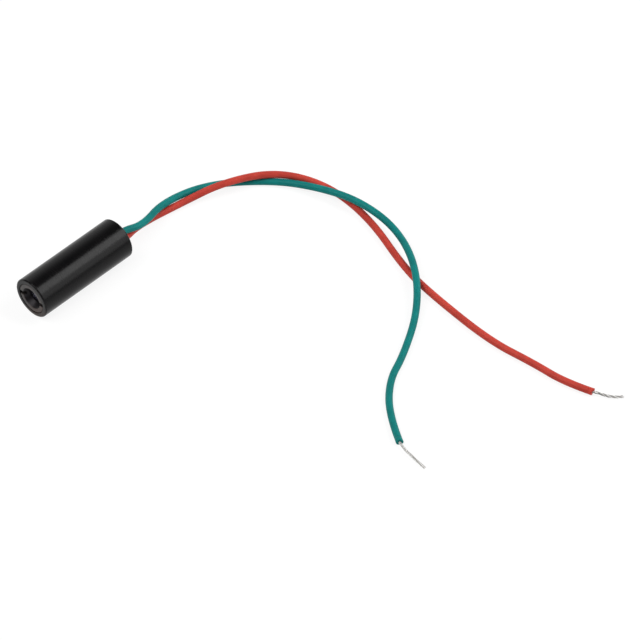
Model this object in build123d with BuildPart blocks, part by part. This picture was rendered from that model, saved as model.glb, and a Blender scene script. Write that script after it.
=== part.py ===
from build123d import *
from math import asin, degrees, pi, radians, sqrt, tan
import os

os.makedirs("parts", exist_ok=True)

# Laser diode module lying on its side: a turned barrel with a lens and a slotted retaining ring
# in its mouth, a canned laser diode on a driver board behind them, and two potted leads.
# Lengths are in millimetres. The barrel lies along Y and its beam leaves towards -Y. The origin
# is on the table under the middle of the barrel, and s is a distance back from its front face.

# Retaining ring, with its thread drawn plain and its hole flared towards the front
ring_d = 4.9
ring_wall = 0.65
ring_length = 1.1
ring_recess = 0.05
ring_edge = 0.06
flare_depth = 0.9
flare_angle = 30.0
slot_width = 0.65
slot_depth = 0.55
slot_tilt = 5.0
thread_clearance = 0.05
thread_runout = 0.1
mouth_chamfer = 0.06

# Collimating lens, flat behind and domed in front
lens_inset = 0.2
lens_rim = 0.9
lens_clearance = 0.05
dome_radius = 2.55
dome_clearance = 0.05
seat_ledge = 0.3
seat_thickness = 1.0
back_focal = 4.45

# Laser diode can: cap, window and header
cap_d = 3.55
cap_height = 2.3
cap_wall = 0.15
cap_hole = 1.6
cap_clearance = 0.15
flange_width = 0.425
flange_thickness = 0.25
window_thickness = 0.25
window_gap = 0.2
header_rim = 0.6
header_thickness = 1.2
header_clearance = 0.02
rim_notch = 0.25
index_width = 1.0
index_depth = 0.4

# Heat-sink post, submount, chip and monitor photodiode, with the emitter on the barrel's axis
emitter_height = 1.27
post_width = 1.0
post_depth = 0.95
post_step = 0.06
submount_width = 0.8
submount_length = 0.8
submount_thickness = 0.2
chip_width = 0.3
chip_length = 0.4
chip_thickness = 0.1
monitor_size = 0.6
monitor_thickness = 0.2

# Pins in their glass seals
pin_d = 0.45
pin_pitch = 2.0
pin_rise = 0.5
pin_overlap = 1.8
seal_d = 0.9

# Driver board and the parts on it
board_thickness = 0.5
board_gap = 0.6
board_side_gap = 0.2
board_corner = 0.3
transistor_length = 2.9
transistor_width = 1.3
transistor_height = 1.0
transistor_standoff = 0.05
transistor_span = 2.4
transistor_x = -0.75
foot_pitch = 0.95
foot_width = 0.4
foot_thickness = 0.12
part_spacing = 0.1
capacitor_length = 1.6
capacitor_width = 0.8
capacitor_height = 0.8
capacitor_x = 1.6
resistor_length = 1.0
resistor_width = 0.5
resistor_height = 0.35
resistor_xs = (-1.5, -0.7)
terminal_length = 0.25
terminal_lip = 0.02

# Solder at the pins and at the leads' tails
solder_film = 0.05
solder_wall = 0.1
solder_foot = 0.15
solder_length = 1.0

# Leads, potting and the barrel around it all
lead_d = 1.1
core_d = 0.4
green_x = -0.6
red_x = 0.2
tail_overlap = 1.6
bare_gap = 0.3
potting_overlap = 0.4
potted_lead = 1.33
potting_recess = 0.3
potting_dip = 0.15
arc_share = 0.45
barrel_wall = 0.43
barrel_edge = 0.15
rear_chamfer = 0.1

# Diameters that follow, from the can outwards and from the ring inwards
flange_d = cap_d + 2 * flange_width
chamber_d = flange_d + 2 * cap_clearance
header_d = flange_d + 2 * header_rim
bore_d = header_d + 2 * header_clearance
barrel_d = bore_d + 2 * barrel_wall
ring_mouth = ring_d - 2 * ring_wall
ring_bore = ring_mouth - 2 * flare_depth * tan(radians(flare_angle))
thread_d = ring_d + 2 * thread_clearance
lens_d = ring_d - 2 * lens_inset
pocket_d = lens_d + 2 * lens_clearance
seat_d = lens_d - 2 * seat_ledge
dome_d = ring_bore - 2 * dome_clearance
window_d = cap_d - 2 * cap_wall - 2 * window_gap

# Stations along the axis, from the front face back
ring_rear = ring_recess + ring_length
lens_rear = ring_rear + lens_rim
seat_rear = lens_rear + seat_thickness
emitter = lens_rear + back_focal
header_front = emitter + emitter_height
header_rear = header_front + header_thickness
cap_front = header_front - cap_height
board_front = header_rear + board_gap
pin_rear = board_front + pin_overlap
parts_length = transistor_span + 2 * part_spacing
parts_middle = pin_rear + parts_length / 2
tail_front = pin_rear + parts_length
board_rear = tail_front + tail_overlap
lead_front = board_rear + bare_gap
potting_front = board_rear - potting_overlap
potting_rear = lead_front + potted_lead
barrel_length = potting_rear + potting_recess

# Heights from the axis: the pins lie on the board, one lead above it and one below
board_top = -pin_d / 2 - solder_film
board_bottom = board_top - board_thickness
board_width = 2 * (sqrt((bore_d / 2) ** 2 - board_bottom**2) - board_side_gap)
common_pin_z = board_bottom - solder_film - pin_d / 2
green_z = board_top + solder_film + core_d / 2
red_z = board_bottom - solder_film - core_d / 2
submount_top = -chip_thickness / 2
post_top = submount_top - submount_thickness

# The module's own frame
axis_height = barrel_d / 2
front_y = -barrel_length / 2
lead_y = front_y + lead_front
barrel_axis = Axis((0, front_y, axis_height), (0, 1, 0))
turning_plane = Plane((0, front_y, axis_height), x_dir=(0, 1, 0), z_dir=(1, 0, 0))


def station(s):
    """Cross-section of the barrel at s, facing the front, with X across and Z up."""
    return Plane((0, front_y + s, axis_height), x_dir=(1, 0, 0), z_dir=(0, -1, 0))


def above_board(s, lift=0.0):
    """Plane on the board's upper face, facing up, centred at s."""
    return Plane((0, front_y + s, axis_height + board_top + lift), x_dir=(1, 0, 0), z_dir=(0, 0, 1))


def below_board(s):
    """Plane on the board's lower face, facing down, centred at s."""
    return Plane((0, front_y + s, axis_height + board_bottom), x_dir=(1, 0, 0), z_dir=(0, 0, -1))


def save(part, name):
    part.label = name
    export_step(part, f"parts/{name}.step")


# Barrel: threaded mouth, lens pocket and seat, cap chamber, and one bore from the rear
with BuildPart() as barrel:
    with BuildSketch(turning_plane):
        with BuildLine():
            Polyline(
                (0, barrel_d / 2 - barrel_edge),
                (barrel_edge, barrel_d / 2),
                (barrel_length - barrel_edge, barrel_d / 2),
                (barrel_length, barrel_d / 2 - barrel_edge),
                (barrel_length, bore_d / 2 + rear_chamfer),
                (barrel_length - rear_chamfer, bore_d / 2),
                (header_front, bore_d / 2),
                (header_front, chamber_d / 2),
                (seat_rear, chamber_d / 2),
                (seat_rear, seat_d / 2),
                (lens_rear, seat_d / 2),
                (lens_rear, pocket_d / 2),
                (ring_rear + thread_runout, pocket_d / 2),
                (ring_rear + thread_runout, thread_d / 2),
                (mouth_chamfer, thread_d / 2),
                (0, thread_d / 2 + mouth_chamfer),
                close=True,
            )
        make_face()
    revolve(axis=barrel_axis)
save(barrel.part, "barrel")

# Retaining ring, with two spanner slots across its front
with BuildPart() as retaining_ring:
    with BuildSketch(turning_plane):
        with BuildLine():
            Polyline(
                (ring_recess, ring_mouth / 2),
                (ring_recess, ring_d / 2 - ring_edge),
                (ring_recess + ring_edge, ring_d / 2),
                (ring_rear - ring_edge, ring_d / 2),
                (ring_rear, ring_d / 2 - ring_edge),
                (ring_rear, ring_bore / 2),
                (ring_recess + flare_depth, ring_bore / 2),
                close=True,
            )
        make_face()
    revolve(axis=barrel_axis)
    with BuildSketch(station(ring_recess + slot_depth)):
        Rectangle(ring_d, slot_width, rotation=slot_tilt)
    extrude(amount=slot_depth + ring_recess, mode=Mode.SUBTRACT)
save(retaining_ring.part, "retaining_ring")

# Lens, clamped by its rim between the ring and the barrel's seat
dome_angle = degrees(asin(dome_d / 2 / dome_radius))
dome_middle = ring_rear + sqrt(dome_radius**2 - (dome_d / 2) ** 2)
with BuildPart() as collimating_lens:
    with BuildSketch(turning_plane):
        with BuildLine():
            dome = CenterArc((dome_middle, 0), dome_radius, 180, -dome_angle)
            Polyline(
                dome @ 1,
                (ring_rear, lens_d / 2),
                (lens_rear, lens_d / 2),
                (lens_rear, 0),
                dome @ 0,
            )
        make_face()
    revolve(axis=barrel_axis)
save(collimating_lens.part, "collimating_lens")

# Header: notched disc with the heat-sink post below the axis
with BuildPart() as diode_header:
    with BuildSketch(station(header_rear)):
        Circle(header_d / 2)
        with Locations((-header_d / 2, 0), (header_d / 2, 0)):
            Rectangle(rim_notch * sqrt(2), rim_notch * sqrt(2), rotation=45, mode=Mode.SUBTRACT)
        with Locations((0, -header_d / 2)):
            Rectangle(index_width, 2 * index_depth, mode=Mode.SUBTRACT)
        with GridLocations(pin_pitch, 0, 2, 1):
            Circle(seal_d / 2, mode=Mode.SUBTRACT)
    extrude(amount=header_thickness)
    with BuildSketch(station(header_front)):
        with Locations((0, post_top - post_depth / 2)):
            Rectangle(post_width, post_depth)
    extrude(amount=emitter_height - post_step)
save(diode_header.part, "diode_header")

with BuildPart() as diode_cap:
    with BuildSketch(turning_plane):
        with BuildLine():
            Polyline(
                (cap_front, cap_hole / 2),
                (cap_front, cap_d / 2),
                (header_front - flange_thickness, cap_d / 2),
                (header_front - flange_thickness, flange_d / 2),
                (header_front, flange_d / 2),
                (header_front, cap_d / 2 - cap_wall),
                (cap_front + cap_wall, cap_d / 2 - cap_wall),
                (cap_front + cap_wall, cap_hole / 2),
                close=True,
            )
        make_face()
    revolve(axis=barrel_axis)
save(diode_cap.part, "diode_cap")

with BuildPart() as diode_window:
    with BuildSketch(station(cap_front + cap_wall + window_thickness)):
        Circle(window_d / 2)
    extrude(amount=window_thickness)
save(diode_window.part, "diode_window")

with BuildPart() as laser_submount:
    with BuildSketch(station(emitter + post_step + submount_length)):
        with Locations((0, submount_top - submount_thickness / 2)):
            Rectangle(submount_width, submount_thickness)
    extrude(amount=submount_length)
save(laser_submount.part, "laser_submount")

with BuildPart() as laser_chip:
    with BuildSketch(station(emitter + chip_length)):
        Rectangle(chip_width, chip_thickness)
    extrude(amount=chip_length)
save(laser_chip.part, "laser_chip")

# The photodiode lies on the header, behind the chip and above the post
with BuildPart() as monitor_photodiode:
    with BuildSketch(station(header_front)):
        with Locations((0, post_top + monitor_size / 2)):
            Rectangle(monitor_size, monitor_size)
    extrude(amount=monitor_thickness)
save(monitor_photodiode.part, "monitor_photodiode")

with BuildPart() as pin_seals:
    with BuildSketch(station(header_rear)):
        with GridLocations(pin_pitch, 0, 2, 1):
            Circle(seal_d / 2)
            Circle(pin_d / 2, mode=Mode.SUBTRACT)
    extrude(amount=header_thickness)
save(pin_seals.part, "pin_seals")

# Sealed pins pass through the header, and the common pin is welded to its back
for pin_name, pin_x in (("laser_pin", -pin_pitch / 2), ("monitor_pin", pin_pitch / 2)):
    with BuildPart() as sealed_pin:
        with BuildSketch(station(pin_rear)):
            with Locations((pin_x, 0)):
                Circle(pin_d / 2)
        extrude(amount=pin_rear - header_front + pin_rise)
    save(sealed_pin.part, pin_name)

with BuildPart() as common_pin:
    with BuildSketch(station(pin_rear)):
        with Locations((0, common_pin_z)):
            Circle(pin_d / 2)
    extrude(amount=pin_rear - header_rear)
save(common_pin.part, "common_pin")

with BuildPart() as driver_board:
    with BuildSketch(station(board_rear)):
        with Locations((0, board_bottom + board_thickness / 2)):
            Rectangle(board_width, board_thickness)
    extrude(amount=board_rear - board_front)
    chamfer(driver_board.edges().filter_by(Axis.Z), board_corner)
save(driver_board.part, "driver_board")

# Transistor: moulded body on three bent feet
with BuildPart() as drive_transistor:
    with BuildSketch(above_board(parts_middle, transistor_standoff)):
        with Locations((transistor_x, 0)):
            Rectangle(transistor_length, transistor_width)
    extrude(amount=transistor_height)
    knee_z = axis_height + board_top + transistor_standoff + transistor_height / 2
    toe_z = axis_height + board_top
    for foot_x, side in ((-foot_pitch, -1), (foot_pitch, -1), (0, 1)):
        middle_y = front_y + parts_middle
        wall_y = middle_y + side * (transistor_width / 2 - foot_thickness)
        knee_y = middle_y + side * (transistor_width / 2 + transistor_span / 2) / 2
        toe_y = middle_y + side * transistor_span / 2
        with BuildSketch(Plane.YZ.offset(transistor_x + foot_x)):
            with BuildLine():
                Polyline(
                    (wall_y, knee_z),
                    (knee_y + side * foot_thickness / 2, knee_z),
                    (knee_y + side * foot_thickness / 2, toe_z + foot_thickness),
                    (toe_y, toe_z + foot_thickness),
                    (toe_y, toe_z),
                    (knee_y - side * foot_thickness / 2, toe_z),
                    (knee_y - side * foot_thickness / 2, knee_z - foot_thickness),
                    (wall_y, knee_z - foot_thickness),
                    close=True,
                )
            make_face()
        extrude(amount=foot_width / 2, both=True)
save(drive_transistor.part, "drive_transistor")


def ceramic_chip(plane, x, length, width, height):
    """Chip along the board: a body between two terminals that stand slightly proud."""
    with BuildPart() as chip:
        with BuildSketch(plane):
            with Locations((x, 0)):
                Rectangle(width - 2 * terminal_lip, length)
        extrude(amount=height - terminal_lip)
        end_y = length / 2 - terminal_length / 2
        with BuildSketch(plane):
            with Locations((x, -end_y), (x, end_y)):
                Rectangle(width, terminal_length)
        extrude(amount=height)
    return chip.part


filter_capacitor = ceramic_chip(
    above_board(parts_middle), capacitor_x, capacitor_length, capacitor_width, capacitor_height
)
save(filter_capacitor, "filter_capacitor")

resistor_chips = [
    ceramic_chip(below_board(parts_middle), x, resistor_length, resistor_width, resistor_height)
    for x in resistor_xs
]
with BuildPart() as set_resistors:
    add(resistor_chips)
save(set_resistors.part, "set_resistors")

# Leads' bare tails, laid on the board
for tail_name, tail_x, tail_z in (("green_lead_tail", green_x, green_z), ("red_lead_tail", red_x, red_z)):
    with BuildPart() as tail:
        with BuildSketch(station(lead_front)):
            with Locations((tail_x, tail_z)):
                Circle(core_d / 2)
        extrude(amount=lead_front - tail_front)
    save(tail.part, tail_name)

# Solder: a rounded saddle from the board's face over each pin and tail
pin_joint = pin_rear - (pin_overlap - solder_length) / 2
tail_joint = potting_front - (tail_overlap - potting_overlap - solder_length) / 2
joints = (
    (-pin_pitch / 2, 0, pin_d, board_top, pin_joint),
    (pin_pitch / 2, 0, pin_d, board_top, pin_joint),
    (0, common_pin_z, pin_d, board_bottom, pin_joint),
    (green_x, green_z, core_d, board_top, tail_joint),
    (red_x, red_z, core_d, board_bottom, tail_joint),
)
with BuildPart() as solder_joints:
    for x, z, wire_d, face_z, joint_rear in joints:
        shoulder = wire_d / 2 + solder_wall
        crest_z = z + shoulder if z > face_z else z - shoulder
        with BuildSketch(station(joint_rear)):
            with BuildLine():
                Polyline(
                    (x - shoulder, z),
                    (x - shoulder - solder_foot, face_z),
                    (x + shoulder + solder_foot, face_z),
                    (x + shoulder, z),
                )
                ThreePointArc((x + shoulder, z), (x, crest_z), (x - shoulder, z))
            make_face()
            with Locations((x, z)):
                Circle(wire_d / 2, mode=Mode.SUBTRACT)
        extrude(amount=solder_length)
save(solder_joints.part, "solder_joints")

# Potting: a plug with a dished rear face, cast around the board's end and the leads
dish_radius = ((bore_d / 2) ** 2 + potting_dip**2) / (2 * potting_dip)
dish_angle = degrees(asin(bore_d / 2 / dish_radius))
dish_middle = potting_rear - potting_dip + dish_radius
with BuildPart() as potting_plug:
    with BuildSketch(turning_plane):
        with BuildLine():
            dish = CenterArc((dish_middle, 0), dish_radius, 180, -dish_angle)
            Polyline(dish @ 1, (potting_front, bore_d / 2), (potting_front, 0), dish @ 0)
        make_face()
    revolve(axis=barrel_axis)
    add(driver_board.part, mode=Mode.SUBTRACT)
    for lead_x, lead_z in ((green_x, green_z), (red_x, red_z)):
        with BuildSketch(station(lead_front)):
            with Locations((lead_x, lead_z)):
                Circle(core_d / 2)
        extrude(amount=lead_front - potting_front, mode=Mode.SUBTRACT)
        with BuildSketch(station(potting_rear)):
            with Locations((lead_x, lead_z)):
                Circle(lead_d / 2)
        extrude(amount=potting_rear - lead_front, mode=Mode.SUBTRACT)
save(potting_plug.part, "potting_plug")

# Routes of the leads: out of the potting, down to the table and along it. Red passes over green
# once, and green passes over red twice, each time in a low hump.
table_z = lead_d / 2
green_points = [
    (green_x, lead_y, axis_height + green_z),
    (green_x, 10.1, axis_height + green_z),
    (0.3, 13.55, 2.55),
    (-1.5, 19.3, 1.9),
    (-0.45, 27.6, table_z),
    (5.65, 34.85, table_z),
    (11.95, 38.35, 1.2),
    (19.0, 40.35, 1.95),
    (26.35, 40.85, 1.1),
    (34.35, 36.9, 1.95),
    (40.45, 31.05, 1.1),
    (44.75, 23.6, table_z),
    (46.7, 18.7, table_z),
    (51.2, 13.95, table_z),
    (56.05, 11.25, table_z),
]
red_points = [
    (red_x, lead_y, axis_height + red_z),
    (red_x, 9.7, axis_height + red_z),
    (-1.25, 13.95, 1.1),
    (-0.35, 22.15, 0.57),
    (2.2, 28.55, 2.25),
    (5.8, 36.1, 1.65),
    (12.55, 40.25, 0.6),
    (21.85, 39.85, table_z),
    (33.05, 36.05, table_z),
    (40.35, 35.15, table_z),
    (51.75, 34.6, table_z),
    (59.25, 35.9, table_z),
    (64.85, 36.4, table_z),
    (69.05, 37.9, table_z),
]
green_tip_points = [
    green_points[-1],
    (57.3, 10.8, 0.48),
    (59.6, 10.6, 0.38),
    (61.95, 10.45, 0.3),
]
red_tip_points = [
    red_points[-1],
    (70.15, 38.5, 0.48),
    (71.8, 39.25, 0.38),
    (72.7, 40.6, 0.3),
]


def bend_radii(points):
    """Tangent arc at each corner that takes up a fixed share of the shorter run beside it."""
    corners = [Vector(point) for point in points]
    radii = []
    for before, corner, after in zip(corners, corners[1:], corners[2:]):
        run_in = corner - before
        run_out = after - corner
        half_turn = radians(run_in.get_angle(run_out)) / 2
        radii.append(arc_share * min(run_in.length, run_out.length) / tan(half_turn))
    return radii


wires = (
    ("green_lead", green_points, lead_d),
    ("red_lead", red_points, lead_d),
    ("green_lead_tip", green_tip_points, core_d),
    ("red_lead_tip", red_tip_points, core_d),
)
for wire_name, wire_points, wire_d in wires:
    radii = bend_radii(wire_points)
    with BuildPart() as wire:
        with BuildLine():
            route = FilletPolyline(*wire_points, radius=radii)
        with BuildSketch(Plane(route @ 0, z_dir=route % 0)):
            Circle(wire_d / 2)
        sweep()
    save(wire.part, wire_name)
    fill = wire.part.volume / (pi * wire_d**2 / 4 * route.length)
    print(wire_name, "length", round(route.length, 2), "volume over section times length", round(fill, 5))
    print("  bend radii", [round(radius, 1) for radius in radii])

print("barrel", round(barrel_d, 3), "by", round(barrel_length, 3))
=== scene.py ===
import bpy
import bmesh
import math
import random
from mathutils import Matrix, Vector, noise


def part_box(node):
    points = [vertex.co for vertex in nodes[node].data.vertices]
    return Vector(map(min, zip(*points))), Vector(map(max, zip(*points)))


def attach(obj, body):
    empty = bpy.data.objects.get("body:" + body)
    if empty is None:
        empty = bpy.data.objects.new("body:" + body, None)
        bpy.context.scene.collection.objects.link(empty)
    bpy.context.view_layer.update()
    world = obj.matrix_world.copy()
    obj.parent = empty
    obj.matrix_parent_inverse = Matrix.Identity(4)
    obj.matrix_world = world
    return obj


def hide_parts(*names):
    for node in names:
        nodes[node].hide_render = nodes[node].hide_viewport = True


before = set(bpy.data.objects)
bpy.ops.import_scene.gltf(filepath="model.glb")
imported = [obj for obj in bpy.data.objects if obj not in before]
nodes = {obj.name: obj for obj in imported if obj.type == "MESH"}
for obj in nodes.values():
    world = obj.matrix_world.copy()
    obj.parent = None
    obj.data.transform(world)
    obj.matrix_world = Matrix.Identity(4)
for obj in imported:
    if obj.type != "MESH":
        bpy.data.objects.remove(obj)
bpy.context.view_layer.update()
print("frame loaded,", len(nodes), "nodes")

mm = 0.001
fullTurn = 2 * math.pi
barrelLow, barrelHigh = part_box("barrel")
axisHeight = round(barrelHigh[2] / mm / 2, 3)  # the barrel's axis over the table, in mm
frontY = round(barrelLow[1] / mm, 3)  # its front face, in mm; s counts back from here


def axialBox(node):  # a round node's front and rear as s, and its radius, in mm
    low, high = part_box(node)
    sizes = (low[1] / mm - frontY, high[1] / mm - frontY, high[2] / mm - axisHeight)
    return [round(size, 3) for size in sizes]


barrelFront, barrelRear, barrelRadius = axialBox("barrel")
ringFront, ringRear, ringRadius = axialBox("retaining_ring")
lensRear, lensRadius = axialBox("collimating_lens")[1:]
pottingFront, pottingRear, pottingRadius = axialBox("potting_plug")


def srgb(red, green, blue):  # 0 to 255 as seen, to linear light
    def linear(value):
        value /= 255
        return value / 12.92 if value <= 0.04045 else ((value + 0.055) / 1.055) ** 2.4
    return (linear(red), linear(green), linear(blue), 1.0)


def grey(level):
    return (level, level, level, 1.0)


# Node trees, for shaders and for geometry

class Channel:  # one socket's value, with its sums written as Python
    def __init__(self, tree, socket):
        self.tree = tree
        self.socket = socket

    def sum(self, operation, *terms):
        return self.tree.node("ShaderNodeMath", {"operation": operation}, list(terms))

    def __add__(self, other):
        return self.sum("ADD", self, other)

    def __radd__(self, other):
        return self.sum("ADD", other, self)

    def __sub__(self, other):
        return self.sum("SUBTRACT", self, other)

    def __rsub__(self, other):
        return self.sum("SUBTRACT", other, self)

    def __mul__(self, other):
        return self.sum("MULTIPLY", self, other)

    def __rmul__(self, other):
        return self.sum("MULTIPLY", other, self)

    def __truediv__(self, other):
        return self.sum("DIVIDE", self, other)

    def __rtruediv__(self, other):
        return self.sum("DIVIDE", other, self)

    def __abs__(self):
        return self.sum("ABSOLUTE", self)

    def sqrt(self):
        return self.sum("SQRT", self)

    def sin(self):
        return self.sum("SINE", self)

    def cos(self):
        return self.sum("COSINE", self)

    def least(self, other):
        return self.sum("MINIMUM", self, other)

    def most(self, other):
        return self.sum("MAXIMUM", self, other)

    def step(self, low, high):  # 0 below low, 1 above high, smooth between
        return self.tree.node("ShaderNodeMapRange", {"interpolation_type": "SMOOTHSTEP"},
                              {"Value": self, "From Min": low, "From Max": high})

    def about(self, middle, spread):  # noise from 0 to 1, made a spread round the middle
        return middle + spread * (self - 0.5)


class NodeTree:
    def __init__(self, tree):
        self.tree = tree

    def node(self, kind, settings=None, sockets=None, output=0):
        made = self.tree.nodes.new(kind)
        for key, value in (settings or {}).items():
            setattr(made, key, value)
        pairs = sockets.items() if isinstance(sockets, dict) else enumerate(sockets or [])
        for key, value in pairs:
            if isinstance(value, Channel):
                self.tree.links.new(value.socket, made.inputs[key])
            else:
                made.inputs[key].default_value = value
        return Channel(self, made.outputs[output]) if made.outputs else made

    def split(self, vector):  # its x, y and z
        return [self.node("ShaderNodeSeparateXYZ", None, [vector], output=axis) for axis in range(3)]


class Finish(NodeTree):  # a material on Object coordinates, in mm from the barrel's axis
    fineShare = 0.55  # how strongly the finer layers of a grain show

    def __init__(self, name):
        self.material = bpy.data.materials.new(name)
        self.material.use_nodes = True
        super().__init__(self.material.node_tree)
        self.tree.nodes.clear()
        place = self.node("ShaderNodeTexCoord", output="Object")
        self.inMm = self.node("ShaderNodeMapping", {"vector_type": "POINT"},
                              {"Vector": place, "Location": (0, 0, -axisHeight), "Scale": (1 / mm,) * 3})
        self.x, self.y, self.z = self.split(self.inMm)

    def grain(self, size, detail, stretch=(1, 1, 1)):  # noise about 0.5; size in mm
        spread = self.node("ShaderNodeVectorMath", {"operation": "MULTIPLY"}, [self.inMm, stretch])
        return self.node("ShaderNodeTexNoise", None,
                         {"Vector": spread, "Scale": 1 / size, "Detail": detail, "Roughness": self.fineShare})

    def radius(self):  # distance from the barrel's axis
        return (self.x * self.x + self.z * self.z).sqrt()

    def blend(self, share, first, second):
        return self.node("ShaderNodeMix", {"data_type": "RGBA"}, {0: share, 6: first, 7: second}, output=2)

    def bump(self, height, strength, depth):  # depth in mm
        return self.node("ShaderNodeBump", None,
                         {"Height": height, "Strength": strength, "Distance": depth * mm})

    def close(self, shader):
        self.node("ShaderNodeOutputMaterial", None, {"Surface": shader})
        return self.material

    def surface(self, **sockets):
        named = {key.replace("_", " "): value for key, value in sockets.items()}
        return self.close(self.node("ShaderNodeBsdfPrincipled", None, named))


# Camera, at the photograph's angle

view = {"aim": (29.58, 21.57, -1.94), "azimuth": 45.0, "elevation": 47.5, "distance": 700.0,
        "pixelsPerMm": 6.78, "pixels": 640, "sensor": 36.0, "nearest": 0.01, "farthest": 20.0}

turn = math.radians(view["azimuth"])
rise = math.radians(view["elevation"])
backward = Vector((math.sin(turn) * math.cos(rise), -math.cos(turn) * math.cos(rise), math.sin(rise)))
cameraData = bpy.data.cameras.new("camera")
cameraData.sensor_width = view["sensor"]
cameraData.lens = view["sensor"] * view["distance"] * view["pixelsPerMm"] / view["pixels"]
cameraData.clip_start = view["nearest"]
cameraData.clip_end = view["farthest"]
camera = bpy.data.objects.new("camera", cameraData)
camera.location = (Vector(view["aim"]) + backward * view["distance"]) * mm
camera.rotation_euler = (-backward).to_track_quat("-Z", "Y").to_euler()
bpy.context.collection.objects.link(camera)
bpy.context.scene.camera = camera
print("camera set, lens", round(cameraData.lens, 1), "mm")


# Meshes and pieces

def looseObject(name, data):
    made = bpy.data.objects.new(name, data)
    bpy.context.collection.objects.link(made)
    return made


def addPiece(name, mesh, material, slot):
    piece = looseObject(name, mesh)
    mesh.materials.clear()
    mesh.materials.append(material)
    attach(piece, "root")
    return piece


def plainMesh(source):  # the source with its modifiers applied, and the source removed
    graph = bpy.context.evaluated_depsgraph_get()
    mesh = bpy.data.meshes.new_from_object(source.evaluated_get(graph), depsgraph=graph)
    bpy.data.objects.remove(source)
    return mesh


def smoothMesh(name, made):
    bmesh.ops.recalc_face_normals(made, faces=made.faces)
    mesh = bpy.data.meshes.new(name)
    made.to_mesh(mesh)
    made.free()
    mesh.shade_smooth()
    return mesh


def roundMesh(name, outlines):  # a closed skin through outlines that stand round an axis
    made = bmesh.new()
    loops = [[made.verts.new(point) for point in outline] for outline in outlines]
    for here, there in zip(loops, loops[1:] + loops[:1]):
        for j in range(len(here)):
            k = (j + 1) % len(here)
            made.faces.new((here[j], there[j], there[k], here[k]))
    closest = 1e-8  # in m
    bmesh.ops.remove_doubles(made, verts=made.verts, dist=closest)
    bmesh.ops.dissolve_degenerate(made, edges=made.edges, dist=closest)
    return smoothMesh(name, made)


# Leads: the routes of the part's source, as control points in mm

greenLead = {
    "route": [(-0.6, 7.12, 3.225), (-0.6, 10.1, 3.225), (0.3, 13.55, 2.55), (-1.5, 19.3, 1.9),
              (-0.45, 27.6, 0.55), (5.65, 34.85, 0.55), (11.95, 38.35, 1.2), (19.0, 40.35, 1.95),
              (26.35, 40.85, 1.1), (34.35, 36.9, 1.95), (40.45, 31.05, 1.1), (44.75, 23.6, 0.55),
              (46.7, 18.7, 0.55), (51.2, 13.95, 0.55), (56.05, 11.25, 0.55)],
    "tip": [(56.05, 11.25, 0.55), (57.3, 10.8, 0.48), (59.6, 10.6, 0.38), (61.95, 10.45, 0.3)],
    "length": 95.1, "colour": srgb(13, 131, 127), "shade": srgb(10, 119, 116),
    "dullTin": srgb(200, 198, 195), "tinRoughness": 0.5, "pitch": 7.0, "loose": 0.2, "spread": 0.3,
    "seed": 4, "cutTilt": 0.09, "cutSide": (0.71, 0.71, 0.0),
}
redLead = {
    "route": [(0.2, 7.12, 2.225), (0.2, 9.7, 2.225), (-1.25, 13.95, 1.1), (-0.35, 22.15, 0.57),
              (2.2, 28.55, 2.25), (5.8, 36.1, 1.65), (12.55, 40.25, 0.6), (21.85, 39.85, 0.55),
              (33.05, 36.05, 0.55), (40.35, 35.15, 0.55), (51.75, 34.6, 0.55), (59.25, 35.9, 0.55),
              (64.85, 36.4, 0.55), (69.05, 37.9, 0.55)],
    "tip": [(69.05, 37.9, 0.55), (70.15, 38.5, 0.48), (71.8, 39.25, 0.38), (72.7, 40.6, 0.3)],
    "length": 95.7, "colour": srgb(205, 72, 60), "shade": srgb(188, 64, 53),
    "dullTin": srgb(146, 143, 139), "tinRoughness": 0.22, "pitch": 1.9, "loose": 0.2, "spread": 0.2,
    "seed": 9, "cutTilt": 0.12, "cutSide": (-0.52, 0.52, 0.68),
}
wire = {  # what both leads share, in mm
    "diameter": 1.1, "exitY": frontY + pottingRear, "around": 9, "along": 20,
    "roughness": 0.46, "shine": 0.14, "cloudSize": 2.4, "speckSize": 0.12,
    "strands": 7, "strandDiameter": 0.133, "tipSteps": 90, "strandSides": 8,
    "frayFrom": 0.7, "cutSpread": 0.05,  # shares of a tip's length
    "brightTin": srgb(246, 245, 243), "streakSize": 0.1, "streakShare": 0.25, "strandChange": 1.9,
}


def routeCurve(name, points, diameter=0.0):
    data = bpy.data.curves.new(name, "CURVE")
    data.dimensions = "3D"
    spline = data.splines.new("NURBS")
    spline.points.add(len(points) - 1)
    for control, point in zip(spline.points, points):
        control.co = (*(value * mm for value in point), 1.0)
    spline.order_u = 3
    spline.use_endpoint_u = True
    spline.resolution_u = wire["along"]
    data.bevel_depth = diameter / 2 * mm
    data.bevel_resolution = wire["around"]
    data.use_fill_caps = diameter > 0
    return looseObject(name, data)


def insulation(name, lead):
    finish = Finish(name)
    clouds = finish.grain(wire["cloudSize"], detail=2.0)
    specks = finish.grain(wire["speckSize"], detail=2.0)
    return finish.surface(Base_Color=finish.blend(clouds.step(0.3, 0.7), lead["colour"], lead["shade"]),
                          Roughness=specks.about(wire["roughness"], 0.12), Specular_IOR_Level=wire["shine"],
                          Normal=finish.bump(specks + 0.6 * clouds, strength=0.25, depth=0.01))


def tinned(name, lead):
    finish = Finish(name)
    streaks = finish.grain(wire["streakSize"], detail=3.0)
    strand = finish.node("ShaderNodeAttribute", {"attribute_name": "strand"}, output="Fac")
    bright = (strand * wire["strandChange"]).sin().step(-1.0, 1.0)  # some strands are duller than others
    share = (1 - wire["streakShare"]) * bright + wire["streakShare"] * streaks
    tint = finish.blend(share, lead["dullTin"], wire["brightTin"])
    return finish.surface(Base_Color=tint, Metallic=1.0, Roughness=lead["tinRoughness"] + 0.18 * streaks,
                          Normal=finish.bump(streaks, strength=0.2, depth=0.01))


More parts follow.
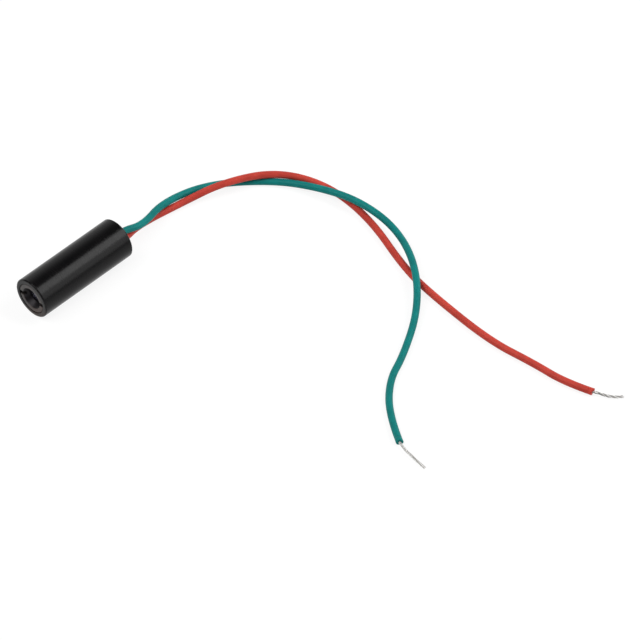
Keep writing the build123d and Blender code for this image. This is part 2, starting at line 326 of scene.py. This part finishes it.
def strandTree():  # strands laid round a path, one straight in the middle
    group = bpy.data.node_groups.new("twistedStrands", "GeometryNodeTree")
    kinds = {"Path": "Geometry", "Strands": "Int", "Strand diameter": "Float", "Pitch": "Float",
             "Loose": "Float", "Spread": "Float", "Steps": "Int", "Sides": "Int", "Seed": "Int",
             "Metal": "Material"}
    sizes = {}
    for name, kind in kinds.items():
        socket = group.interface.new_socket(name, in_out="INPUT", socket_type="NodeSocket" + kind)
        sizes[name] = socket.identifier
    group.interface.new_socket("Strands", in_out="OUTPUT", socket_type="NodeSocketGeometry")
    tree = NodeTree(group)
    given = group.nodes.new("NodeGroupInput")

    def value(name):
        return Channel(tree, next(socket for socket in given.outputs if socket.identifier == sizes[name]))

    def vector(operation, sockets):
        return tree.node("ShaderNodeVectorMath", {"operation": operation}, sockets)

    path = tree.node("GeometryNodeMeshToCurve", None, {"Mesh": value("Path")})
    path = tree.node("GeometryNodeResampleCurve", None, {"Curve": path, "Count": value("Steps")})
    copies = tree.node("GeometryNodeDuplicateElements", {"domain": "SPLINE"},
                       {"Geometry": path, "Amount": value("Strands")})
    number = Channel(tree, copies.socket.node.outputs["Duplicate Index"])
    kept = tree.node("GeometryNodeStoreNamedAttribute", {"data_type": "INT", "domain": "CURVE"},
                     {"Geometry": copies, "Name": "strand", "Value": number})
    strand = tree.node("GeometryNodeInputNamedAttribute", {"data_type": "INT"}, {"Name": "strand"})
    along = tree.node("GeometryNodeSplineParameter", output="Factor")
    travelled = tree.node("GeometryNodeSplineParameter", output="Length")
    chance = tree.node("FunctionNodeRandomValue", {"data_type": "FLOAT"},
                       {"ID": strand, "Seed": value("Seed")}, output=1)

    outer = strand.least(1.0)  # the first strand is the core
    angle = (strand - 1.0) * fullTurn / (value("Strands") - 1.0) + travelled * fullTurn / value("Pitch")
    bulge = (along * math.pi).sin() * value("Loose") * chance
    fray = along.step(wire["frayFrom"], 1.0) * value("Spread") * chance
    reach = outer * value("Strand diameter") * (1.0 + bulge + fray)
    tangent = tree.node("GeometryNodeInputTangent")
    normal = tree.node("GeometryNodeInputNormal")
    cross = vector("CROSS_PRODUCT", [tangent, normal])
    sideways = vector("SCALE", {0: normal, "Scale": reach * angle.cos()})
    upward = vector("SCALE", {0: cross, "Scale": reach * angle.sin()})
    laid = tree.node("GeometryNodeSetPosition", None,
                     {"Geometry": kept, "Offset": vector("ADD", [sideways, upward])})
    cut = tree.node("GeometryNodeTrimCurve", {"mode": "FACTOR"},
                    {"Curve": laid, "End": 1.0 - wire["cutSpread"] * chance})

    section = tree.node("GeometryNodeCurvePrimitiveCircle", {"mode": "RADIUS"},
                        {"Resolution": value("Sides"), "Radius": value("Strand diameter") * 0.5})
    drawn = tree.node("GeometryNodeCurveToMesh", None,
                      {"Curve": cut, "Profile Curve": section, "Fill Caps": True})
    smooth = tree.node("GeometryNodeSetShadeSmooth", None, {"Geometry": drawn})
    real = tree.node("GeometryNodeRealizeInstances", None, {"Geometry": smooth})
    metal = tree.node("GeometryNodeSetMaterial", None, {"Geometry": real, "Material": value("Metal")})
    tree.node("NodeGroupOutput", None, [metal])
    return group, sizes


def strandMesh(name, lead, group, sizes, metal):
    path = plainMesh(routeCurve(name + "Path", lead["tip"]))
    holder = looseObject(name + "Strands", path)
    laying = holder.modifiers.new("strands", "NODES")
    laying.node_group = group
    given = {"Strands": wire["strands"], "Strand diameter": wire["strandDiameter"] * mm,
             "Pitch": lead["pitch"] * mm, "Loose": lead["loose"], "Spread": lead["spread"],
             "Steps": wire["tipSteps"], "Sides": wire["strandSides"], "Seed": lead["seed"], "Metal": metal}
    for label, value in given.items():
        laying[sizes[label]] = value
    return plainMesh(holder)


cutEnd = {  # the insulation's cut end, as (along the lead, out from its skin or its middle) in mm
    "outside": [(-0.7, -0.005), (-0.35, 0.003), (-0.12, 0.008), (-0.03, 0.014), (0.02, 0.0), (0.03, -0.05)],
    "inside": [(0.0, 0.38), (-0.02, 0.29), (-0.06, 0.24), (-0.3, 0.22), (-0.7, 0.22)],
    "sides": 64, "reach": 0.35, "ragged": 0.05, "notches": 1.4,
}


def cutMesh(name, lead):  # a little flared and not quite square
    end = Vector(lead["route"][-1])
    before = Vector(lead["route"][-2])
    turned = (end - before).to_track_quat("Z", "Y").to_matrix()
    profile = [(along, wire["diameter"] / 2 + out) for along, out in cutEnd["outside"]] + cutEnd["inside"]
    outlines = []
    for i in range(cutEnd["sides"]):
        angle = fullTurn * i / cutEnd["sides"]
        spoke = Vector((math.cos(angle), math.sin(angle), 0))
        ragged = cutEnd["ragged"] * noise.noise((*(spoke.xy * cutEnd["notches"]), lead["seed"]))
        slant = lead["cutTilt"] * (turned @ spoke).dot(lead["cutSide"]) + ragged
        outline = []
        for along, out in profile:
            shift = slant * max(0.0, 1 + along / cutEnd["reach"])
            point = spoke * out + Vector((0, 0, along + shift))
            outline.append((turned @ point + end) * mm)
        outlines.append(outline)
    return roundMesh(name, outlines)


strandGroup, strandSizes = strandTree()
tinnedCopper = {}
for name, lead in (("green", greenLead), ("red", redLead)):
    jacket = insulation(name + "Insulation", lead)
    cord = routeCurve(name + "Lead", lead["route"], wire["diameter"])
    cord.data.materials.append(jacket)
    metal = tinned(name + "TinnedCopper", lead)
    tinnedCopper[name] = metal
    strands = strandMesh(name, lead, strandGroup, strandSizes, metal)
    tip = addPiece(name + "LeadTip", strands, metal, "tinned_copper")
    cut = addPiece(name + "LeadCut", cutMesh(name + "LeadCut", lead), jacket, name + "_insulation")
    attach(cord, "root")
    name + "_insulation"
    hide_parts(name + "_lead")
    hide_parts(name + "_lead_tip")
    start = lead["route"][0]
    start[0] * mm
    wire["exitY"] * mm
    start[2] * mm
    lead["length"] * mm
    wire["diameter"] * mm
print("leads laid")


# Turned pieces, each a profile of (s, radius) in mm about the barrel's axis

rounded = {"segments": 3, "sharperThan": 28.0}  # degrees past which an edge gets a small rounding


def turnedMesh(name, profile, sides, rounding, cutter=None):
    outlines = []
    for i in range(sides):
        angle = fullTurn * i / sides
        outlines.append([(out * math.sin(angle) * mm, (frontY + s) * mm,
                          (axisHeight + out * math.cos(angle)) * mm) for s, out in profile])
    holder = looseObject(name + "Turned", roundMesh(name, outlines))
    if cutter:
        cutting = holder.modifiers.new("cut", "BOOLEAN")
        cutting.operation = "DIFFERENCE"
        cutting.solver = "EXACT"
        cutting.object = cutter
    edges = holder.modifiers.new("edges", "BEVEL")
    edges.width = rounding * mm
    edges.segments = rounded["segments"]
    edges.limit_method = "ANGLE"
    edges.angle_limit = math.radians(rounded["sharperThan"])
    evening = holder.modifiers.new("evening", "WEIGHTED_NORMAL")
    evening.keep_sharp = True
    mesh = plainMesh(holder)
    if cutter:
        bpy.data.objects.remove(cutter)
    return mesh


barrel = {"edge": 0.15, "mouthEdge": 0.06, "rearEdge": 0.1, "threadGap": 0.05, "threadRunout": 0.1,
          "lensGap": 0.05, "lensLedge": 0.3, "seatDepth": 1.0, "chamber": 2.35, "header": 7.77,
          "sides": 144, "rounding": 0.03, "black": srgb(9, 9, 10), "paler": srgb(13, 12, 13),
          # the brown is painted warm light, laid low on the right of the front face
          "bare": srgb(74, 71, 68), "paintedBrown": srgb(48, 36, 30), "roughness": 0.26, "shine": 0.155,
          "turningSize": 0.05, "poreSize": 0.03, "cloudSize": 3.5, "chipSize": 0.35,
          "wearWidth": 0.23, "wearLength": 0.17, "wearEdge": 0.05, "wear": 0.5,
          "faceFade": (0.02, 0.12), "paintedBrownFrom": (1.0, 3.0)}


def anodised(name):
    finish = Finish(name)
    turning = finish.grain(barrel["turningSize"], detail=2.0, stretch=(0.02, 1, 0.02))  # lathe marks
    pores = finish.grain(barrel["poreSize"], detail=2.0)
    clouds = finish.grain(barrel["cloudSize"], detail=3.0)
    chips = finish.grain(barrel["chipSize"], detail=4.0)
    ends = abs(finish.y).step(-frontY - barrel["wearLength"], -frontY - barrel["wearEdge"])
    rim = finish.radius().step(barrelRadius - barrel["wearWidth"], barrelRadius - barrel["wearEdge"])
    worn = barrel["wear"] * ends * rim * chips.step(0.52, 0.68)
    face = 1 - (finish.y - frontY).step(*barrel["faceFade"])
    paintedWarmLight = face * (0.5 * finish.x - finish.z).step(*barrel["paintedBrownFrom"])  # browner low on the right: painted warm light on the face
    tint = finish.blend(clouds.step(0.3, 0.7), barrel["black"], barrel["paler"])
    tint = finish.blend(worn, tint, barrel["bare"])
    tint = finish.blend(paintedWarmLight, tint, barrel["paintedBrown"])
    roughness = clouds.about(turning.about(barrel["roughness"], 0.1), 0.06)
    return finish.surface(Base_Color=tint, Roughness=roughness, Specular_IOR_Level=barrel["shine"],
                          Normal=finish.bump(turning + 0.5 * pores, strength=0.18, depth=0.006))


thread = ringRadius + barrel["threadGap"]
threadEnd = ringRear + barrel["threadRunout"]
pocket = lensRadius + barrel["lensGap"]
seat = lensRadius - barrel["lensLedge"]
seatRear = lensRear + barrel["seatDepth"]
barrelProfile = [
    (barrelFront, barrelRadius - barrel["edge"]), (barrelFront + barrel["edge"], barrelRadius),
    (barrelRear - barrel["edge"], barrelRadius), (barrelRear, barrelRadius - barrel["edge"]),
    (barrelRear, pottingRadius + barrel["rearEdge"]), (barrelRear - barrel["rearEdge"], pottingRadius),
    (barrel["header"], pottingRadius), (barrel["header"], barrel["chamber"]),
    (seatRear, barrel["chamber"]), (seatRear, seat), (lensRear, seat), (lensRear, pocket),
    (threadEnd, pocket), (threadEnd, thread),
    (barrelFront + barrel["mouthEdge"], thread), (barrelFront, thread + barrel["mouthEdge"])]
barrelMesh = turnedMesh("barrelShell", barrelProfile, barrel["sides"], barrel["rounding"])
barrelPiece = addPiece("barrelShell", barrelMesh, anodised("blackAnodise"), "black_barrel")
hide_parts("barrel")
print("barrel turned")


ring = {"wall": 0.65, "edge": 0.06, "flareDepth": 0.9, "flareAngle": 30.0,
        "slotWidth": 0.65, "slotDepth": 0.55, "slotTilt": 5.0, "slotOver": 0.3, "slotReach": 2.4,
        "sides": 144, "rounding": 0.03, "dark": srgb(36, 31, 30), "paler": srgb(50, 41, 38),
        # the brown is painted warm light, laid low on the right of the ring's face
        "paintedBrown": srgb(62, 46, 40), "hole": srgb(36, 33, 36), "slot": srgb(22, 18, 16),
        "roughness": 0.4, "shine": 0.4, "marksPerMm": 22.0, "cloudSize": 0.8,
        "holeFade": 0.08, "slotShadeFade": (0.08, 0.25), "paintedBrownFrom": (0.4, 3.2)}
ringMouth = ringRadius - ring["wall"]
ringBore = ringMouth - ring["flareDepth"] * math.tan(math.radians(ring["flareAngle"]))


def ringBlack(name):
    finish = Finish(name)
    radius = finish.radius()
    marks = finish.node("ShaderNodeTexNoise", {"noise_dimensions": "1D"},
                        {"W": radius, "Scale": ring["marksPerMm"], "Detail": 3.0})  # circles on the face
    clouds = finish.grain(ring["cloudSize"], detail=3.0)
    flare = 1 - radius.step(ringMouth - ring["holeFade"], ringMouth)
    paintedWarmLight = (1 - flare) * (finish.x - finish.z).step(*ring["paintedBrownFrom"])  # browner low on the right: painted warm light on the face
    slots = (1 - flare) * (finish.y - frontY).step(*ring["slotShadeFade"])  # painted shade: darker and duller below the face, which shows in the slots
    tint = finish.blend(clouds.step(0.35, 0.65), ring["dark"], ring["paler"])
    tint = finish.blend(paintedWarmLight, tint, ring["paintedBrown"])
    # a cooler tint in the hole: painted cool reflection on the flare
    tint = finish.blend(flare, tint, ring["hole"])
    # painted shade in the slots
    tint = finish.blend(slots, tint, ring["slot"])
    roughness = marks.about(ring["roughness"] + 0.04 * flare + 0.4 * slots, 0.14)
    return finish.surface(Base_Color=tint, Metallic=0.6 * flare + 0.4 * paintedWarmLight, Roughness=roughness,
                          Specular_IOR_Level=ring["shine"],
                          Normal=finish.bump(marks, strength=0.3, depth=0.01))


def slotCutter(name):  # one bar across the ring cuts both slots
    height = ring["slotDepth"] + ring["slotOver"]
    middle = frontY + ringFront + ring["slotDepth"] - height / 2
    size = (ring["slotReach"] * ringRadius, height, ring["slotWidth"])
    place = Matrix.Translation((0, middle * mm, axisHeight * mm))
    tilt = Matrix.Rotation(math.radians(-ring["slotTilt"]), 4, "Y")
    made = bmesh.new()
    bmesh.ops.create_cube(made, size=1.0)
    made.transform(place @ tilt @ Matrix.Diagonal((*(value * mm for value in size), 1)))
    mesh = bpy.data.meshes.new(name)
    made.to_mesh(mesh)
    made.free()
    return looseObject(name, mesh)


ringProfile = [
    (ringFront, ringMouth), (ringFront, ringRadius - ring["edge"]), (ringFront + ring["edge"], ringRadius),
    (ringRear - ring["edge"], ringRadius), (ringRear, ringRadius - ring["edge"]), (ringRear, ringBore),
    (ringFront + ring["flareDepth"], ringBore)]
ringMesh = turnedMesh("slottedRing", ringProfile, ring["sides"], ring["rounding"], slotCutter("slotCutter"))
ringPiece = addPiece("slottedRing", ringMesh, ringBlack("ringBlack"), "black_ring")
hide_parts("retaining_ring")
print("ring cut")


lens = {"domeRadius": 2.55, "domeGap": 0.05, "steps": 20, "sides": 96, "rounding": 0.03,
        "clear": srgb(226, 224, 246), "bluer": srgb(206, 204, 240), "reflection": srgb(176, 160, 255),
        "index": 1.6, "clarity": 0.97, "filmSize": 0.9}


def lensGlass(name):
    finish = Finish(name)
    film = finish.grain(lens["filmSize"], detail=2.0)
    return finish.surface(Base_Color=finish.blend(film.step(0.35, 0.65), lens["clear"], lens["bluer"]),
                          Roughness=0.03 + 0.03 * film, IOR=lens["index"],
                          Transmission_Weight=lens["clarity"], Specular_Tint=lens["reflection"])


domeEdge = ringBore - lens["domeGap"]
domeAngle = math.asin(domeEdge / lens["domeRadius"])
domeMiddle = ringRear + lens["domeRadius"] * math.cos(domeAngle)
lensProfile = []
for i in range(lens["steps"] + 1):
    angle = domeAngle * i / lens["steps"]
    lensProfile.append((domeMiddle - lens["domeRadius"] * math.cos(angle),
                        lens["domeRadius"] * math.sin(angle)))
lensProfile += [(ringRear, lensRadius), (lensRear, lensRadius), (lensRear, 0.0)]
lensMesh = turnedMesh("domedLens", lensProfile, lens["sides"], lens["rounding"])
lensPiece = addPiece("domedLens", lensMesh, lensGlass("coatedGlass"), "coated_lens")
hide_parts("collimating_lens")
print("lens ground")


# Potting, with its skin drawn up the leads and the bore

potting = {"dip": 0.15, "climb": 0.16, "boreClimb": 0.08, "climbReach": 0.13, "highest": 0.2,
           "ripple": 0.012, "rippleScale": 1.6, "rippleSlice": 3.1, "bubbles": 9, "bubbleSpread": 0.9,
           "bubbleSizes": (0.06, 0.14), "bubbleDepth": 0.6, "seed": 21, "rings": 56, "sides": 168,
           "sharperThan": 50.0, "dark": srgb(24, 24, 25), "dusty": srgb(46, 45, 45), "shine": 0.45,
           "dustSize": 0.06, "rippleSize": 0.9}


def pottingEpoxy(name):
    finish = Finish(name)
    dust = finish.grain(potting["dustSize"], detail=3.0)
    ripples = finish.grain(potting["rippleSize"], detail=2.0)
    return finish.surface(Base_Color=finish.blend(dust.step(0.45, 0.75), potting["dark"], potting["dusty"]),
                          Roughness=0.26 + 0.2 * dust, Specular_IOR_Level=potting["shine"],
                          Normal=finish.bump(ripples + 0.25 * dust, strength=0.3, depth=0.03))


def bubblePlaces():
    dice = random.Random(potting["seed"])
    places = []
    for _ in range(potting["bubbles"]):
        angle = dice.uniform(0, fullTurn)
        out = pottingRadius * potting["bubbleSpread"] * math.sqrt(dice.random())
        places.append((out * math.cos(angle), out * math.sin(angle), dice.uniform(*potting["bubbleSizes"])))
    return places


def pottingMesh(name):
    exits = [(lead["route"][0][0], lead["route"][0][2] - axisHeight) for lead in (greenLead, redLead)]
    bubbles = bubblePlaces()

    def skin(x, z):  # how far back the skin lies
        out = math.hypot(x, z)
        s = pottingRear - potting["dip"] * (1 - (out / pottingRadius) ** 2)
        s += potting["boreClimb"] * math.exp(-(pottingRadius - out) / potting["climbReach"])
        for exitX, exitZ in exits:
            clear = max(0.0, math.hypot(x - exitX, z - exitZ) - wire["diameter"] / 2)
            s += potting["climb"] * math.exp(-clear / potting["climbReach"])
        for bubbleX, bubbleZ, size in bubbles:
            near = math.hypot(x - bubbleX, z - bubbleZ) / size
            if near < 1:
                s -= potting["bubbleDepth"] * size * (1 - near ** 2)
        s += potting["ripple"] * noise.noise((x * potting["rippleScale"], z * potting["rippleScale"],
                                              potting["rippleSlice"]))
        return min(s, pottingRear + potting["highest"])

    made = bmesh.new()
    middle = made.verts.new((0, (frontY + skin(0, 0)) * mm, axisHeight * mm))
    loops = []
    for i in range(1, potting["rings"] + 1):
        out = pottingRadius * i / potting["rings"]
        loop = []
        for j in range(potting["sides"]):
            angle = fullTurn * j / potting["sides"]
            x = out * math.sin(angle)
            z = out * math.cos(angle)
            loop.append(made.verts.new((x * mm, (frontY + skin(x, z)) * mm, (axisHeight + z) * mm)))
        loops.append(loop)
    front = [made.verts.new((vert.co.x, (frontY + pottingFront) * mm, vert.co.z)) for vert in loops[-1]]
    loops.append(front)
    for j in range(potting["sides"]):
        k = (j + 1) % potting["sides"]
        made.faces.new((middle, loops[0][j], loops[0][k]))
        for inner, outer in zip(loops, loops[1:]):
            made.faces.new((inner[j], outer[j], outer[k], inner[k]))
    made.faces.new(front)
    mesh = smoothMesh(name, made)
    mesh.set_sharp_from_angle(angle=math.radians(potting["sharperThan"]))
    return mesh


pottingPiece = addPiece("pottingSkin", pottingMesh("pottingSkin"), pottingEpoxy("pottingEpoxy"),
                        "potting_epoxy")
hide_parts("potting_plug")
print("potting cast")


# Finishes of the nodes that stay: the diode, the board, what is on it and the leads' tails

tin = {"bright": srgb(200, 198, 192), "dull": srgb(172, 169, 163), "edge": 0.01}


def plated(name, bright, dull, roughness):
    finish = Finish(name)
    patches = finish.grain(size=0.5, detail=3.0)
    fine = finish.grain(size=0.05, detail=2.0)
    return finish.surface(Base_Color=finish.blend(patches.step(0.3, 0.7), bright, dull), Metallic=1.0,
                          Roughness=fine.about(roughness, 0.16),
                          Normal=finish.bump(fine, strength=0.2, depth=0.006))


def clearGlass(name, tint, other):
    finish = Finish(name)
    film = finish.grain(size=0.6, detail=2.0)
    return finish.surface(Base_Color=finish.blend(film, tint, other), Roughness=0.04, IOR=1.5,
                          Transmission_Weight=1.0)


def mineral(name, first, second, size, roughness):
    finish = Finish(name)
    speckle = finish.grain(size=size, detail=4.0)
    return finish.surface(Base_Color=finish.blend(speckle.step(0.35, 0.65), first, second),
                          Roughness=speckle.about(roughness, 0.2),
                          Normal=finish.bump(speckle, strength=0.2, depth=0.01))


def tinnedEnds(name, first, second, bodyReach):  # a body on the board, with tin past its reach either way
    finish = Finish(name)
    speckle = finish.grain(size=0.09, detail=3.0)
    ends = abs(finish.y - board["partsY"]).step(bodyReach - tin["edge"], bodyReach + tin["edge"])
    body = finish.blend(speckle.step(0.35, 0.65), first, second)
    tint = finish.blend(ends, body, finish.blend(speckle, tin["bright"], tin["dull"]))
    return finish.surface(Base_Color=tint, Metallic=ends, Roughness=speckle.about(0.55 - 0.22 * ends, 0.12),
                          Normal=finish.bump(speckle, strength=0.2, depth=0.006))


board = {"mask": srgb(24, 84, 52), "darker": srgb(20, 70, 45), "copper": srgb(206, 170, 110),
         "weave": 14.0, "cloudSize": 1.2, "partsY": frontY + 12.67, "padX": 1.0, "padReach": 0.5,
         "padEnd": 2.55, "tailX": -0.2, "tailReach": 0.96, "tailStart": 5.3,
         "sideFade": 0.06, "endFade": 0.07}


def boardFinish(name):  # bare copper at the pins' pads and at the tails
    finish = Finish(name)
    weave = (finish.x * board["weave"]).sin() * (finish.y * board["weave"]).sin()
    clouds = finish.grain(board["cloudSize"], detail=3.0)
    besidePads = (abs(abs(finish.x) - board["padX"]) - board["padReach"]).step(0.0, board["sideFade"])
    behindPads = (finish.y - board["padEnd"]).step(0.0, board["endFade"])
    besideTails = (abs(finish.x - board["tailX"]) - board["tailReach"]).step(0.0, board["sideFade"])
    tails = (1 - besideTails) * (finish.y - board["tailStart"]).step(0.0, board["endFade"])
    bare = ((1 - besidePads) * (1 - behindPads)).most(tails)
    tint = finish.blend(clouds.step(0.3, 0.7), board["mask"], board["darker"])
    tint = finish.blend(bare, tint, board["copper"])
    return finish.surface(Base_Color=tint, Metallic=bare, Roughness=0.38 + 0.08 * weave,
                          Normal=finish.bump(weave, strength=0.15, depth=0.01))


goldPlate = plated("goldPlate", srgb(228, 188, 108), srgb(212, 170, 92), roughness=0.26)
nodeFinishes = {
    "diode_header": goldPlate, "laser_pin": goldPlate, "monitor_pin": goldPlate, "common_pin": goldPlate,
    "diode_cap": plated("nickelCan", srgb(188, 184, 176), srgb(166, 162, 155), roughness=0.3),
    "diode_window": clearGlass("windowGlass", srgb(246, 248, 250), srgb(236, 240, 246)),
    "pin_seals": mineral("sealGlass", srgb(38, 48, 46), srgb(52, 66, 62), size=0.2, roughness=0.2),
    "laser_submount": mineral("submountCeramic", srgb(206, 203, 194), srgb(190, 186, 176),
                              size=0.06, roughness=0.5),
    "laser_chip": plated("chipFace", srgb(96, 92, 88), srgb(70, 70, 74), roughness=0.2),
    "monitor_photodiode": mineral("photodiodeFace", srgb(40, 44, 62), srgb(54, 56, 76),
                                  size=0.15, roughness=0.22),
    "driver_board": boardFinish("boardLaminate"),
    "drive_transistor": tinnedEnds("transistorMould", srgb(30, 30, 31), srgb(42, 42, 43), bodyReach=0.65),
    "set_resistors": tinnedEnds("resistorBody", srgb(22, 22, 24), srgb(36, 36, 38), bodyReach=0.25),
    "filter_capacitor": tinnedEnds("capacitorBody", srgb(168, 134, 98), srgb(150, 116, 82), bodyReach=0.55),
    "solder_joints": plated("solderMetal", tin["bright"], tin["dull"], roughness=0.22),
    "red_lead_tail": tinnedCopper["red"], "green_lead_tail": tinnedCopper["green"],
}
for name, material in nodeFinishes.items():
    data = nodes[name].data
    data.materials.clear()
    data.materials.append(material)
print("finishes on", len(nodeFinishes), "inner nodes")


# Stage: a white floor, a pale world with a dim ceiling, and soft boxes

stage = {"size": 4.0, "squares": 4, "drop": 0.02, "white": 0.86, "shadow": 0.17, "bounce": 0.8}

flat = bmesh.new()
bmesh.ops.create_grid(flat, x_segments=stage["squares"], y_segments=stage["squares"], size=stage["size"])
floorMesh = bpy.data.meshes.new("floor")
flat.to_mesh(floorMesh)
flat.free()
floor = looseObject("floor", floorMesh)
floor.location.z = -stage["drop"] * mm
paper = Finish("paperWhite")
matte = paper.node("ShaderNodeBsdfDiffuse", None, {"Color": grey(stage["bounce"])})
shaded = paper.node("ShaderNodeBsdfDiffuse", None, {"Color": grey(stage["shadow"])})
glow = paper.node("ShaderNodeEmission", None, {"Color": grey(1.0), "Strength": stage["white"]})
backdrop = paper.node("ShaderNodeAddShader", None, [shaded, glow])
fromCamera, fromGloss, fromGlass = (paper.node("ShaderNodeLightPath", output="Is " + kind + " Ray")
                                    for kind in ("Camera", "Glossy", "Transmission"))
seen = fromCamera.most(fromGloss).most(fromGlass)  # white as a backdrop, plain paper as a light
floorMesh.materials.append(paper.close(paper.node("ShaderNodeMixShader", None, [seen, matte, backdrop])))

room = {"horizon": 0.9, "ceiling": 0.05, "upwards": (0.42, 0.88), "backwards": (-0.5, 0.1),
        "rightwards": (0.2, 0.8), "rightDimming": 0.5}

world = bpy.data.worlds.new("room")
world.use_nodes = True
bpy.context.scene.world = world
sky = NodeTree(world.node_tree)
sky.tree.nodes.clear()
right, behind, above = sky.split(sky.node("ShaderNodeTexCoord", output="Generated"))
share = (1 - above.step(*room["upwards"])) * behind.step(*room["backwards"])
share = share * (1 - room["rightDimming"] * right.step(*room["rightwards"]))
level = room["ceiling"] + (room["horizon"] - room["ceiling"]) * share
light = sky.node("ShaderNodeBackground", None, {"Color": grey(1.0), "Strength": level})
sky.node("ShaderNodeOutputWorld", None, {"Surface": light})

lamps = {  # direction and distance from the origin, width and length, in m, and power in W
    "keyBox": {"towards": (0.412, 0.478, 0.775), "away": 0.6, "size": (0.34, 0.16), "power": 1.2},
    "sideBox": {"towards": (0.768, 0.478, 0.426), "away": 0.7, "size": (0.4, 0.2), "power": 0.58},
    "frontBox": {"towards": (-0.15, -0.5, 0.85), "away": 0.7, "size": (0.6, 0.6), "power": 3.4},
}
for name, lamp in lamps.items():
    data = bpy.data.lights.new(name, "AREA")
    data.shape = "RECTANGLE"
    data.size, data.size_y = lamp["size"]
    data.energy = lamp["power"]
    towards = Vector(lamp["towards"]).normalized()
    across = Vector((0, 1, 0)).cross(towards).normalized()
    turned = Matrix((across, towards.cross(across), towards)).transposed().to_4x4()
    looseObject(name, data).matrix_world = Matrix.Translation(towards * lamp["away"]) @ turned
bpy.context.scene.view_settings.view_transform = "Standard"
print("stage lit")
